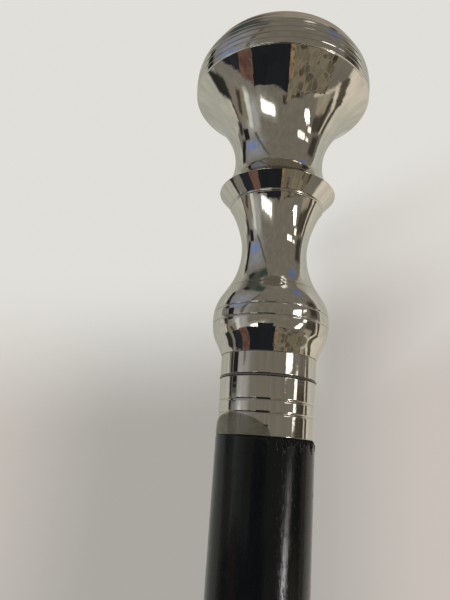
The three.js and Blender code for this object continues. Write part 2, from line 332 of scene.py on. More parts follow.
# fine marks left by turning and buffing, which run round the axis, and a slight waviness under them
def makeTurningMarks():
    p = turningPattern
    inputs = [("Vector", None), ("Lines", 3000.0), ("Wander", 0.3), ("Wave Scale", 300.0)]
    group, g, given, out = makeGroup("turningMarks", inputs, ["Height", "Wave"])
    parts = g.add("ShaderNodeSeparateXYZ")
    g.set(parts.inputs[0], given["Vector"])
    radius = g.vector("LENGTH", g.vector("MULTIPLY", given["Vector"], (1, 1, 0)))
    join = g.add("ShaderNodeCombineXYZ")
    g.set(join.inputs[0], g.times(parts.outputs[2], given["Lines"]))
    g.set(join.inputs[1], g.times(radius, given["Lines"]))
    g.set(join.inputs[2], g.times(given["Wander"], g.noise(given["Vector"], p["wanderScale"], 2.0)))
    lines = g.noise(join.outputs[0], 1.0, 4.0, 0.7)
    breaks = g.remap(g.noise(given["Vector"], p["breakScale"], 3.0), *p["breaks"])
    g.set(out["Height"], g.times(lines, breaks))
    g.set(out["Wave"], g.noise(g.scaled(given["Vector"], 1.0, 1.0, p["waveStretch"]), given["Wave Scale"], 2.0, 0.45))
    return group


# smears, hand marks and hair scratches on a handled surface
def makeHandlingMarks():
    p = handlingPattern
    inputs = [("Vector", None), ("Smear Scale", 60.0), ("Scratch Scale", 900.0)]
    group, g, given, out = makeGroup("handlingMarks", inputs, ["Smear", "Scratch"])
    smear = g.noise(given["Vector"], given["Smear Scale"], 5.0, 0.6, 0.8)
    g.set(out["Smear"], g.remap(smear, *p["smears"]))
    slanted = g.add("ShaderNodeMapping")
    g.set(slanted.inputs["Vector"], given["Vector"])
    g.set(slanted.inputs["Rotation"], p["slant"])
    g.set(slanted.inputs["Scale"], p["stretch"])
    scratch = g.noise(slanted.outputs[0], given["Scratch Scale"], 2.0, 0.5)
    g.set(out["Scratch"], g.remap(scratch, *p["scratches"]))
    return group


# streaks along a stick, from wood grain under a coat
def makeGrainStreaks():
    p = grainPattern
    inputs = [("Vector", None), ("Across", 2200.0), ("Along", 160.0)]
    group, g, given, out = makeGroup("grainStreaks", inputs, ["Height", "Flecks"])
    across = given["Across"]
    streaks = g.scaled(given["Vector"], across, across, given["Along"])
    broad = g.times(g.noise(streaks, p["broadScale"], 3.0, 0.6), p["broadShare"])
    fine = g.times(g.noise(streaks, p["fineScale"], 4.0, 0.65), p["fineShare"])
    g.set(out["Height"], g.plus(broad, fine))
    shorter = g.scaled(given["Vector"], across, across, g.times(given["Along"], p["shortening"]))
    g.set(out["Flecks"], g.remap(g.noise(shorter, p["fleckScale"], 3.0, 0.7), *p["flecks"]))
    return group


turningMarks = makeTurningMarks()
handlingMarks = makeHandlingMarks()
grainStreaks = makeGrainStreaks()


def emptyMaterial(name):
    material = bpy.data.materials.new(name)
    material.use_nodes = True
    material.node_tree.nodes.clear()
    return material, Graph(material.node_tree)


def startMaterial(name):
    material, g = emptyMaterial(name)
    shader = g.add("ShaderNodeBsdfPrincipled")
    g.set(g.add("ShaderNodeOutputMaterial").inputs["Surface"], shader.outputs[0])
    return material, g, shader, g.add("ShaderNodeTexCoord").outputs["Object"]


def useGroup(g, group, **inputs):
    node = g.add("ShaderNodeGroup", node_tree=group)
    for name, value in inputs.items():
        g.set(node.inputs[name.replace("_", " ")], value)
    return node.outputs


def addBump(g, shader, height, distance, under=None):
    node = g.add("ShaderNodeBump")
    g.set(node.inputs["Distance"], distance)
    g.set(node.inputs["Height"], height)
    if under is not None:
        g.set(node.inputs["Normal"], under)
    g.set(shader.inputs["Normal"], node.outputs[0])
    return node.outputs[0]


metalShares = dict(smear=0.5, dirtRoughness=0.3, scratchDepth=0.5)


def metalMaterial(name, look):
    material, g, shader, place = startMaterial(name)
    marks = useGroup(
        g, turningMarks, Vector=place, Lines=look["lines"], Wander=look["wander"], Wave_Scale=look["waveScale"])
    hands = useGroup(
        g, handlingMarks, Vector=place, Smear_Scale=look["smearScale"], Scratch_Scale=look["scratchScale"])
    # painted shade and grime: the lineShade attribute darkens the base colour towards a dark brown in turned lines,
    # joints and inside the piece
    line = g.add("ShaderNodeAttribute", attribute_name="lineShade").outputs["Fac"]
    grimeAndShade = g.times(line, look["grimeAndShade"], clamp=True)
    colour = g.mix(g.times(hands["Smear"], metalShares["smear"]), look["colour"], look["smeared"])
    g.set(shader.inputs["Base Color"], g.mix(grimeAndShade, colour, look["grimeAndShadeColour"]))
    rough = g.plus(look["roughness"], g.times(hands["Smear"], look["smearRoughness"]))
    rough = g.plus(rough, g.times(hands["Scratch"], look["scratchRoughness"]))
    dirtRough = g.times(grimeAndShade, metalShares["dirtRoughness"])
    g.set(shader.inputs["Roughness"], g.plus(rough, dirtRough, clamp=True))
    g.set(shader.inputs["Metallic"], 1.0)
    g.set(shader.inputs["Specular Tint"], look["edgeTint"])
    wavy = addBump(g, shader, marks["Wave"], look["wave"])
    height = g.minus(marks["Height"], g.times(hands["Scratch"], metalShares["scratchDepth"]))
    addBump(g, shader, height, look["bump"], wavy)
    return material


nickelLook = dict(
    colour=(0.70, 0.67, 0.61, 1), smeared=(0.655, 0.625, 0.565, 1), grimeAndShadeColour=(0.10, 0.085, 0.065, 1),
    edgeTint=(0.80, 0.79, 0.77, 1), grimeAndShade=0.3, roughness=0.018, smearRoughness=0.03, scratchRoughness=0.06,
    lines=5200.0, wander=0.5, bump=0.0000045, waveScale=330.0, wave=0.00002,
    smearScale=70.0, scratchScale=1100.0,
)
brassLook = dict(
    colour=(0.62, 0.42, 0.17, 1), smeared=(0.46, 0.30, 0.12, 1), grimeAndShadeColour=(0.10, 0.06, 0.02, 1),
    edgeTint=(1, 0.95, 0.85, 1), grimeAndShade=0.6, roughness=0.22, smearRoughness=0.15, scratchRoughness=0.1,
    lines=3600.0, wander=0.2, bump=0.00001, waveScale=300.0, wave=0.00001,
    smearScale=140.0, scratchScale=900.0,
)
steelLook = dict(
    colour=(0.44, 0.45, 0.46, 1), smeared=(0.30, 0.29, 0.27, 1), grimeAndShadeColour=(0.07, 0.055, 0.045, 1),
    edgeTint=(0.9, 0.9, 0.9, 1), grimeAndShade=0.7, roughness=0.28, smearRoughness=0.2, scratchRoughness=0.1,
    lines=3000.0, wander=0.3, bump=0.00001, waveScale=300.0, wave=0.00001,
    smearScale=160.0, scratchScale=800.0,
)
nickel = metalMaterial("polishedNickel", nickelLook)
brass = metalMaterial("machinedBrass", brassLook)
steel = metalMaterial("plainSteel", steelLook)


lacquerLook = dict(
    colour=(0.0030, 0.0034, 0.0038, 1), worn=(0.006, 0.0062, 0.0066, 1), chipped=(0.0045, 0.0042, 0.004, 1),
    tenon=(0.30, 0.19, 0.10, 1), roughness=0.13, fleckRoughness=0.18, scratchRoughness=0.1,
    chippedRoughness=0.75, gloss=0.3, bump=0.00003, across=2200.0, along=160.0, smearScale=45.0,
    scratchScale=700.0, smearShare=0.6, crumbleScale=2600.0, crumbleHeight=4.0, fleckHeight=0.12,
)


def lacquerMaterial():
    look = lacquerLook
    material, g, shader, place = startMaterial("blackLacquer")
    grain = useGroup(g, grainStreaks, Vector=place, Across=look["across"], Along=look["along"])
    hands = useGroup(
        g, handlingMarks, Vector=place, Smear_Scale=look["smearScale"], Scratch_Scale=look["scratchScale"])
    chip = g.add("ShaderNodeAttribute", attribute_name="chip").outputs["Fac"]
    tenon = g.add("ShaderNodeAttribute", attribute_name="bareWood").outputs["Fac"]
    crumble = g.noise(place, look["crumbleScale"], 4.0, 0.7)
    colour = g.mix(g.times(hands["Smear"], look["smearShare"]), look["colour"], look["worn"])
    colour = g.mix(chip, colour, look["chipped"])
    g.set(shader.inputs["Base Color"], g.mix(tenon, colour, look["tenon"]))
    rough = g.plus(look["roughness"], g.times(grain["Flecks"], look["fleckRoughness"]))
    rough = g.plus(rough, g.times(hands["Scratch"], look["scratchRoughness"]))
    bare = g.times(g.calc("MAXIMUM", chip, tenon), look["chippedRoughness"])
    g.set(shader.inputs["Roughness"], g.calc("MAXIMUM", rough, bare))
    g.set(shader.inputs["Specular IOR Level"], look["gloss"])
    height = g.plus(grain["Height"], g.times(grain["Flecks"], look["fleckHeight"]))
    crumbs = g.times(g.times(chip, crumble), look["crumbleHeight"])
    addBump(g, shader, g.plus(height, crumbs), look["bump"])
    return material


lacquer = lacquerMaterial()
fibreLook = dict(
    dark=(0.032, 0.029, 0.024, 1), light=(0.085, 0.078, 0.066, 1), roughness=(0.15, 0.4), scale=3200.0,
    bump=0.00002,
)
rubberLook = dict(
    dark=(0.017, 0.017, 0.018, 1), light=(0.030, 0.030, 0.030, 1), scuffed=(0.085, 0.080, 0.072, 1),
    roughness=(0.58, 0.82), grimeScale=120.0, gritScale=2400.0, scuffHeight=0.012, bump=0.00005,
)
glueLook = dict(
    dark=(0.060, 0.056, 0.036, 1), light=(0.115, 0.107, 0.074, 1), roughness=(0.22, 0.4), alpha=(0.40, 0.62),
    scale=420.0, bump=0.00006,
)


def fibreMaterial():
    look = fibreLook
    material, g, shader, place = startMaterial("blackFibre")
    fuzz = g.noise(place, look["scale"], 4.0, 0.7)
    g.set(shader.inputs["Base Color"], g.mix(fuzz, look["dark"], look["light"]))
    g.set(shader.inputs["Roughness"], g.linear(fuzz, 0.2, 0.8, *look["roughness"]))
    addBump(g, shader, fuzz, look["bump"])
    return material


def rubberMaterial():
    look = rubberLook
    material, g, shader, place = startMaterial("blackRubber")
    grime = g.noise(place, look["grimeScale"], 5.0, 0.65)
    grit = g.noise(place, look["gritScale"], 3.0, 0.6)
    height = g.add("ShaderNodeSeparateXYZ")
    g.set(height.inputs[0], place)
    low = g.remap(height.outputs[2], look["scuffHeight"], 0.0)
    scuff = g.times(low, g.remap(grime, 0.35, 0.7))
    base = g.mix(g.linear(grime, 0.3, 0.75), look["dark"], look["light"])
    g.set(shader.inputs["Base Color"], g.mix(scuff, base, look["scuffed"]))
    g.set(shader.inputs["Roughness"], g.linear(grime, 0.2, 0.8, *look["roughness"]))
    addBump(g, shader, grit, look["bump"])
    return material


def glueMaterial():  # a dull skin of dried glue, through which the collar still shows
    look = glueLook
    material, g, shader, place = startMaterial("driedGlue")
    cloud = g.noise(place, look["scale"], 5.0, 0.65, 0.6)
    g.set(shader.inputs["Base Color"], g.mix(g.linear(cloud, 0.3, 0.7), look["dark"], look["light"]))
    g.set(shader.inputs["Roughness"], g.linear(cloud, 0.3, 0.7, *look["roughness"]))
    g.set(shader.inputs["Alpha"], g.linear(cloud, 0.25, 0.75, *look["alpha"]))
    addBump(g, shader, cloud, look["bump"])
    return material


fibre = fibreMaterial()
rubber = rubberMaterial()
driedGlue = glueMaterial()
print("materials made")


def finishPlated(piece, node, body="handle"):
    finishPiece(piece, body, "handle_plating", nickel, node)


# ---- knob cap
capSizes = dict(
    rimRadius=20.6, shoulderRadius=18.95, shoulderHeight=8.7, wall=1.6, mouthDepth=1.4,
    bandShares=[[-0.24, 0.4], [-0.1, 0.72]], domeShares=[[0.08, 0.5], [0.38, 1]], bossRadius=7.1,
    firstLine=1.35, linePitch=1.37, lineCount=4, lineWidth=0.6, lineDepth=0.05, lineShade=0.25,
    rimRound=0.3, insideRadius=17.0,
)


def makeCap():
    s = capSizes
    corner = (s["shoulderRadius"], capBase + s["shoulderHeight"])
    band = curvePoints((s["rimRadius"], capBase), corner, s["bandShares"], steps=34)
    lines = [capBase + s["firstLine"] + s["linePitch"] * index for index in range(s["lineCount"])]
    for height in lines:
        band = cutLine(band, height, s["lineWidth"], s["lineDepth"])
    dome = curvePoints(corner, (0, capTop), s["domeShares"], steps=44)
    roof = capTop - s["wall"]
    innerCorner = (corner[0] - s["wall"], corner[1] - s["wall"])
    innerDome = curvePoints(innerCorner, (s["bossRadius"], roof), s["domeShares"], steps=12)
    mouth = s["rimRadius"] - s["wall"]
    outline = [(0, roof)] + innerDome[::-1] + [(mouth, capBase + s["mouthDepth"]), (mouth, capBase)] + band + dome[1:]
    piece = turnPiece("knobCap", softCorners(outline, s["rimRound"]))
    markLines(piece, [(height, s["lineShade"]) for height in lines], s)
    finishPlated(piece, "knob_cap")


# ---- knob bell, the trumpet under the cap
bellSizes = dict(
    rimRadius=20.4, neckRadius=10.1, neckHeight=7.6, footRadius=12.85, floorHeight=11.5,
    floorRadius=6.5, wall=1.9, registerRadius=18.9, registerWidth=0.9, registerHeight=1.2,
    flareShares=[[0.55, 0.19], [1, 0.52]], trumpetShares=[[0, 0.36], [0.42, 0.72]],
    bowlShares=[[0.48, 0.385], [0.875, 0.74]], edgeRound=0.2, insideRadius=9.5,
)


def makeBell():
    s = bellSizes
    neck = (s["neckRadius"], bellBase + s["neckHeight"])
    outside = curvePoints((s["footRadius"], bellBase), neck, s["flareShares"], steps=28)
    outside += curvePoints(neck, (s["rimRadius"], capBase), s["trumpetShares"], steps=60)[1:]
    inner = s["registerRadius"] - s["registerWidth"]
    floor = bellBase + s["floorHeight"]
    bowl = curvePoints((inner, capBase - s["wall"]), (s["floorRadius"], floor), s["bowlShares"], steps=16)
    register = capBase + s["registerHeight"]
    socket = bellBase + fits["spigotDepth"]
    outline = [(fits["spigotBore"], socket), (fits["spigotBore"], bellBase)] + outside
    outline += [(s["registerRadius"], capBase), (s["registerRadius"], register), (inner, register)] + bowl
    outline += [(fits["rodBore"], floor), (fits["rodBore"], socket), (fits["spigotBore"], socket)]
    piece = turnPiece("knobBell", softCorners(outline, s["edgeRound"]))
    markLines(piece, [(bellBase, shadeReach["joint"])], s)
    finishPlated(piece, "knob_bell")


# closes an outline whose foot has a spigot bore and whose top carries a spigot
def spigotEnds(outside, base, top):
    socket = base + fits["spigotDepth"]
    outline = [(fits["spigotBore"], socket), (fits["spigotBore"], base)] + outside
    spigotTop = top + fits["spigotHeight"]
    outline += [(fits["spigot"], top), (fits["spigot"], spigotTop), (fits["rodBore"], spigotTop)]
    return outline + [(fits["rodBore"], socket), (fits["spigotBore"], socket)]


# ---- flange ring with the bead at its foot
flangeSizes = dict(
    edgeRadius=13.15, footRadius=10.35, beadHeight=0.6, beadBulge=0.2, beadSteps=8, edgeRound=0.2,
    insideRadius=9.5,
)


def makeFlange():
    s = flangeSizes
    beadTop = flangeBase + s["beadHeight"]
    bead = []
    for step in range(s["beadSteps"] + 1):
        bulge = s["beadBulge"] * math.sin(math.pi * step / s["beadSteps"])
        bead.append((s["footRadius"] + bulge, flangeBase + s["beadHeight"] * step / s["beadSteps"]))
    cone = linePoints((s["footRadius"], beadTop), (s["edgeRadius"], bellBase), steps=14)
    piece = turnPiece("flangeRing", softCorners(spigotEnds(bead + cone[1:], flangeBase, bellBase), s["edgeRound"]))
    markLines(piece, [(flangeBase, shadeReach["thin"]), (beadTop, shadeReach["joint"])], s)
    finishPlated(piece, "flange_ring")


# ---- waist
waistSizes = dict(
    narrowRadius=7.2, narrowHeight=9.6, footRadius=10.0, topRadius=10.35, edgeRound=0.14,
    lowerShares=[[0.66, 0.3], [1, 0.62]], upperShares=[[0, 0.3], [0.5, 0.75]], insideRadius=6.5,
)


def makeWaist():
    s = waistSizes
    narrow = (s["narrowRadius"], waistBase + s["narrowHeight"])
    outside = curvePoints((s["footRadius"], waistBase), narrow, s["lowerShares"], steps=44)
    outside += curvePoints(narrow, (s["topRadius"], flangeBase), s["upperShares"], steps=44)[1:]
    piece = turnPiece("waistStem", softCorners(spigotEnds(outside, waistBase, flangeBase), s["edgeRound"]))
    markLines(piece, [(height, shadeReach["joint"]) for height in (waistBase, flangeBase)], s)
    finishPlated(piece, "waist_stem")


# ---- ball with two turned lines, and the skirt under it that holds the seat ring
ballSizes = dict(
    widestRadius=12.4, widestHeight=7.9, footRadius=10.05, topRadius=10.0,
    lowerShares=[[0.47, 0.41], [1, 0.42]], upperShares=[[0, 0.5], [0.68, 0.79]],
    lines=[6.7, 9.1], lineWidth=0.5, lineDepth=0.1, lineShade=0.2,
    skirtRadius=8.8, skirtHeight=3.0, recessRadius=7.7, edgeRound=0.14, insideRadius=9.0,
)


def makeBall():
    s = ballSizes
    widest = (s["widestRadius"], ballBase + s["widestHeight"])
    outside = curvePoints((s["footRadius"], ballBase), widest, s["lowerShares"], steps=40)
    outside += curvePoints(widest, (s["topRadius"], waistBase), s["upperShares"], steps=40)[1:]
    for height in s["lines"]:
        outside = cutLine(outside, ballBase + height, s["lineWidth"], s["lineDepth"])
    skirtFoot = ballBase - s["skirtHeight"]
    middle = (s["skirtRadius"], (skirtFoot + ballBase) / 2)
    spigotTop = waistBase + fits["spigotHeight"]
    outline = [middle, (s["skirtRadius"], ballBase)] + outside
    outline += [(fits["spigot"], waistBase), (fits["spigot"], spigotTop)]
    outline += [(fits["rodBore"], spigotTop), (fits["rodBore"], recessTop)]
    outline += [(s["recessRadius"], recessTop), (s["recessRadius"], skirtFoot), (s["skirtRadius"], skirtFoot), middle]
    piece = turnPiece("ballSection", softCorners(outline, s["edgeRound"]))
    marks = [(ballBase + height, s["lineShade"]) for height in s["lines"]]
    marks += [(waistBase, shadeReach["joint"]), (ballBase, shadeReach["thin"])]
    markLines(piece, marks, s)
    finishPlated(piece, "ball_section")


# ---- seat ring, joint washer and collar
def turnSleeve(name, bore, low, high, wall, edgeRound):
    middle = (bore, (low + high) / 2)
    return turnPiece(name, softCorners([middle, (bore, low)] + wall + [(bore, high), middle], edgeRound))


seatSizes = dict(radius=9.95, bore=8.9, edgeRound=0.14, insideRadius=9.5)
washerSizes = dict(radius=10.04, bore=8.5, edgeRound=0.1)
collarSizes = dict(
    topRadius=9.95, footRadius=9.8, bore=8.5, lines=[4.25, 6.75], lineWidth=0.7, lineDepth=0.12,
    lineShade=0.22, edgeRound=0.14, insideRadius=9.0,
)


def makeSeatRing():
    s = seatSizes
    wall = linePoints((s["radius"], seatBase), (s["radius"], ballBase), steps=12)
    piece = turnSleeve("seatRing", s["bore"], seatBase, ballBase, wall, s["edgeRound"])
    markLines(piece, [(seatBase, shadeReach["thin"]), (ballBase, shadeReach["joint"])], s)
    finishPlated(piece, "seat_ring")


def makeWasher():
    s = washerSizes
    low, high = nodeSpan("joint_washer")
    piece = turnSleeve("jointWasher", s["bore"], low, high, [(s["radius"], low), (s["radius"], high)], s["edgeRound"])
    finishPiece(piece, "joint_washer", "fibre_washer", fibre, "joint_washer")


def makeCollar():
    s = collarSizes
    wall = linePoints((s["footRadius"], shoulder), (s["topRadius"], collarTop), steps=34)
    lines = [shoulder + height for height in s["lines"]]
    for height in lines:
        wall = cutLine(wall, height, s["lineWidth"], s["lineDepth"])
    piece = turnSleeve("collarSleeve", s["bore"], shoulder, collarTop, wall, s["edgeRound"])
    marks = [(height, s["lineShade"]) for height in lines]
    marks += [(shoulder, shadeReach["shoulder"]), (collarTop, shadeReach["washer"])]
    markLines(piece, marks, s)
    finishPlated(piece, "collar_sleeve", "shaft")


makeCap()
makeBell()
makeFlange()
makeWaist()
makeBall()
makeSeatRing()
makeWasher()
makeCollar()
print("handle turned")


# ---- shaft, with its lacquer chipped away in teeth under the shoulder
shaftFoot, tenonTop = nodeSpan("shaft")
shaftSizes = dict(
    footRadius=8.0, topRadius=10.05, chamfer=0.25, tenonRadius=8.4, headSeatRadius=7.3,
    headSeatDepth=1.0, boreRadius=6.1, boreDepth=22.0, sides=360,
    rows=200, keptRow=8, fineReach=6.0, fineRows=34, rowGap=1.0,
)
chipSizes = {  # turns round the stick and their fades in degrees, lengths in millimetres
    "from": -24.0, "slightFade": 10.0, "strongFrom": 4.0, "strongFade": 12.0, "to": 132.0, "endFade": 24.0,
    "slightShare": 0.22, "tooth": 3.9, "least": 0.15, "reach": 2.5, "furthest": 1.6, "skinRadius": 9.0,
    "depth": 0.45, "edge": 0.25, "shift": 0.9, "shiftRate": 0.11, "shiftSeed": 3.1,
    "swing": 0.62, "swingNoise": 0.75, "swingRate": 0.19, "swingSeed": 7.7, "even": 0.3, "pointed": 0.75,
    "grain": 0.5, "rough": 0.7, "roughNoise": 0.6, "roughLeast": 0.2, "roughMost": 1.2,
}


def chipWeight(place):  # how far the lacquer is gone at a place, from 0 to 1
    s = chipSizes
    drop = shoulder - place.z / mm
    if drop < -slack or drop > s["reach"] * s["furthest"] or axisDistance(place) < s["skinRadius"]:
        return 0.0
    turn = math.degrees(math.atan2(place.x, -place.y))
    ending = held((s["to"] - turn) / s["endFade"])
    strong = held((turn - s["strongFrom"] + s["strongFade"] / 2) / s["strongFade"]) * ending
    slight = s["slightShare"] * held((turn - s["from"]) / s["slightFade"]) * ending
    if max(strong, slight) <= 0:
        return 0.0
    phase = turn / s["tooth"] + s["shift"] * noise.noise(Vector((turn * s["shiftRate"], s["shiftSeed"], 0)))
    spike = 1 - abs(2 * (phase % 1.0) - 1)
    swing = s["swing"] + s["swingNoise"] * noise.noise(Vector((turn * s["swingRate"], s["swingSeed"], 0)))
    teeth = max(0.0, s["even"] * swing + s["pointed"] * spike * swing)
    reach = s["least"] + s["reach"] * max(strong, slight) * teeth
    return held((reach - drop) / s["edge"])


def makeShaft():
    s = shaftSizes
    skinTop = shoulder - s["chamfer"]
    head = tenonTop - s["headSeatDepth"]
    bore = tenonTop - s["boreDepth"]
    skin = linePoints((s["footRadius"], shaftFoot), (s["topRadius"], skinTop), s["rows"])
    fineFoot = skinTop - s["fineReach"]
    coarse = [point for point in skin[::s["keptRow"]] if point[1] < fineFoot - s["rowGap"]]
    fine = linePoints((radiusAt(skin, fineFoot), fineFoot), (s["topRadius"], skinTop), s["fineRows"])
    outline = [(0, shaftFoot)] + coarse + fine
    outline += [(s["topRadius"] - s["chamfer"], shoulder), (s["tenonRadius"], shoulder), (s["tenonRadius"], tenonTop)]
    outline += [(s["headSeatRadius"], tenonTop), (s["headSeatRadius"], head)]
    outline += [(s["boreRadius"], head), (s["boreRadius"], bore), (0, bore)]
    piece = turnPiece("shaftStick", outline, s["sides"])
    chip = piece.data.attributes.new("chip", "FLOAT", "POINT")
    bare = piece.data.attributes.new("bareWood", "FLOAT", "POINT")
    c = chipSizes
    for vertex in piece.data.vertices:
        inside = axisDistance(vertex.co) < s["tenonRadius"] + slack and vertex.co.z / mm > shoulder - s["boreDepth"]
        bare.data[vertex.index].value = 1.0 if inside else 0.0
        weight = chipWeight(vertex.co)
        if weight > 0:
            rough = c["rough"] + c["roughNoise"] * noise.fractal(vertex.co / (c["grain"] * mm), 1.0, 2.2, 3)
            pullIn(vertex, c["depth"] * weight * max(c["roughLeast"], min(c["roughMost"], rough)))
            chip.data[vertex.index].value = weight
    finishPiece(piece, "shaft", "lacquered_wood", lacquer, "shaft")


# ---- dried glue that has run out of the joint on to the collar
glueSizes = dict(
    turn=-42.0, halfTurn=48.0, height=4.15, thickness=0.16, collarRadius=9.8, roundness=1.8,
    gap=0.06, lift=0.03, edgeShare=0.3, edgePower=8, waves=0.3, wavesAlong=3, wavesUp=2,
    waveSeed=1.3, skinShare=0.8, columns=64, rows=28, merge=1e-6, smoothAngle=40,
)


def makeGlue():
    s = glueSizes
    deselectAll()
    bpy.ops.mesh.primitive_grid_add(x_subdivisions=s["columns"], y_subdivisions=s["rows"], size=2)
    piece = bpy.context.object
    piece.name = "driedGlue"
    bpy.ops.object.mode_set(mode="EDIT")
    bpy.ops.mesh.select_all(action="SELECT")
    bpy.ops.transform.resize(value=(1, 0.5, 1), center_override=(0, 0, 0))
    bpy.ops.transform.translate(value=(0, 0.5, 0))
    bpy.ops.object.mode_set(mode="OBJECT")
    for vertex in piece.data.vertices:
        along, up = vertex.co.x, vertex.co.y
        top = s["height"] * max(0.0, 1 - abs(along) ** s["roundness"]) ** 0.5
        rim = max(0.0, (1 - abs(along) ** s["edgePower"]) * (1 - up ** s["edgePower"]))
        waves = 1 + s["waves"] * noise.noise(Vector((along * s["wavesAlong"], up * s["wavesUp"], s["waveSeed"])))
        swell = s["thickness"] * (s["edgeShare"] + (1 - s["edgeShare"]) * rim ** 0.5) * waves
        turn = math.radians(s["turn"] + along * s["halfTurn"])
        radius = (s["collarRadius"] + s["gap"] + swell) * mm
        vertex.co = (radius * math.sin(turn), -radius * math.cos(turn), (shoulder + s["lift"] + up * top) * mm)
    bpy.ops.object.mode_set(mode="EDIT")
    bpy.ops.mesh.select_all(action="SELECT")
    bpy.ops.mesh.remove_doubles(threshold=s["merge"])
    bpy.ops.mesh.normals_make_consistent(inside=False)
    bpy.ops.object.mode_set(mode="OBJECT")
    wall = piece.modifiers.new("wall", "SOLIDIFY")
    wall.thickness = s["thickness"] * s["skinShare"] * mm
    wall.offset = -1
    bpy.ops.object.modifier_apply(modifier="wall")
    bpy.ops.object.shade_smooth_by_angle(angle=math.radians(s["smoothAngle"]))
    piece.data.materials.append(driedGlue)
    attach(piece, "shaft")
    print(piece.name, len(piece.data.polygons), "faces")


makeShaft()
makeGlue()
print("shaft made")


# ---- rod with its thread, and the insert that it screws into
threadSizes = dict(
    radius=3.98, depth=0.62, pitch=1.25, slope=1.3, flat=0.15, chamfer=0.8, threaded=22.0,
    runOut=1.5, rows=9, sides=48, insideRadius=3.7,
)
insertSizes = dict(
    radius=6.0, headRadius=7.2, headHeight=1.0, boreRadius=4.08, startHeight=3.0, plainEnd=0.1,
    runOut=0.8, sides=72, insideRadius=4.3,
)


def threadShare(place):  # 1 on the crest and 0 in the root of a right-hand thread
    phase = (place.z / mm / threadSizes["pitch"] - math.atan2(place.y, place.x) / math.tau) % 1.0
    return held(abs(2 * phase - 1) * threadSizes["slope"] - threadSizes["flat"])


def makeRod():
    s = threadSizes
    foot, top = nodeSpan("tie_rod")
    count = int(s["threaded"] / s["pitch"] * s["rows"])
    threadFoot = foot + s["chamfer"]
    outline = [(0, foot), (s["radius"] - s["chamfer"], foot)]
    outline += linePoints((s["radius"], threadFoot), (s["radius"], threadFoot + s["threaded"]), count)
    outline += [(s["radius"], top), (0, top)]
    piece = turnPiece("tieRod", outline, s["sides"])
    for vertex in piece.data.vertices:
        height = vertex.co.z / mm
        runIn = (height - foot - s["chamfer"] * 0.5) / s["chamfer"]
        runOut = (threadFoot + s["threaded"] - height) / s["runOut"]
        if axisDistance(vertex.co) > s["radius"] - slack and runIn > 0 and runOut > 0:
            pullIn(vertex, s["depth"] * (1 - threadShare(vertex.co)) * min(1.0, runIn, runOut))
    markLines(piece, [], s)
    finishPiece(piece, "handle", "plain_steel", steel, "tie_rod")


def makeInsert():
    s = insertSizes
    foot, top = nodeSpan("threaded_insert")
    count = int((top - foot) / threadSizes["pitch"] * threadSizes["rows"])
    head = top - s["headHeight"]
    start = (s["radius"], foot + s["startHeight"])
    outline = [start, (s["radius"], head), (s["headRadius"], head), (s["headRadius"], top)]
    outline += linePoints((s["boreRadius"], top), (s["boreRadius"], foot), count) + [(s["radius"], foot), start]
    piece = turnPiece("threadedInsert", outline, s["sides"])
    for vertex in piece.data.vertices:
        height = vertex.co.z / mm
        if axisDistance(vertex.co) < s["boreRadius"] + slack and foot + s["plainEnd"] < height < top - s["plainEnd"]:
            pullIn(vertex, -threadSizes["depth"] * threadShare(vertex.co) * min(1.0, (top - height) / s["runOut"]))
    markLines(piece, [], s)
    finishPiece(piece, "shaft", "brass_fittings", brass, "threaded_insert")


# ---- rubber tip
tipSizes = dict(
    footRadius=14.5, footHeight=3.0, footChamfer=0.7, neckRadius=10.9, neckHeight=20.0,
    lipRadius=11.5, lipHeight=4.0, lipChamfer=0.8, sole=8.0, socketRadius=8.15,
    treads=[5.0, 9.2], treadWidth=1.3, treadDepth=1.5, flareShares=[[0.25, 0.35], [1, 0.6]],
    ribs=[24.5, 27.5, 30.5, 33.5], ribWidth=1.2, ribDepth=0.35, edgeRound=0.4, sides=96,
)


def makeTip():
    s = tipSizes
    top = nodeSpan("rubber_tip")[1]
    outline = [(0, 0)]
    for radius in s["treads"]:
        far = radius + s["treadWidth"]
        outline += [(radius, 0), (radius, s["treadDepth"]), (far, s["treadDepth"]), (far, 0)]
    outline += [(s["footRadius"] - s["footChamfer"], 0), (s["footRadius"], s["footChamfer"])]
    neckTop = top - s["lipHeight"]
    wall = curvePoints((s["footRadius"], s["footHeight"]), (s["neckRadius"], s["neckHeight"]), s["flareShares"], steps=26)
    wall += linePoints((s["neckRadius"], s["neckHeight"]), (s["neckRadius"], neckTop), steps=24)[1:]
    for height in s["ribs"]:
        wall = cutLine(wall, height, s["ribWidth"], s["ribDepth"])
    lip = [(s["lipRadius"], neckTop + s["lipChamfer"]), (s["lipRadius"], top - s["lipChamfer"])]
    lip.append((s["lipRadius"] - s["lipChamfer"], top))
    outline += wall + lip + [(s["socketRadius"], top), (s["socketRadius"], s["sole"]), (0, s["sole"])]
    piece = turnPiece("rubberTip", softCorners(outline, s["edgeRound"], steps=4), s["sides"])
    finishPiece(piece, "shaft", "tip_rubber", rubber, "rubber_tip")


makeRod()
makeInsert()
makeTip()
keptNodes = {"cap_boss": brass, "clamp_washer": steel, "lock_washer": steel, "clamp_nut": steel, "tip_washer": steel}
for node, material in keptNodes.items():
    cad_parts[node].material_slots[0].material = material
print("fittings and tip made")


# ---- studio: pale floor, a soft lamp, dark cards that only the metal mirrors, and a pale tent far off
floorSizes = dict(
    radius=3.1, drop=0.0002, sides=96, tone=(0.72, 0.71, 0.69, 1), shade=(0.68, 0.67, 0.65, 1),
    patchScale=3.0, roughness=0.9, gloss=0.1,
)
lampSizes = dict(place=(-1.1, -1.6, 2.6), aim=(0, 0, 0.5), size=1.4, power=26)
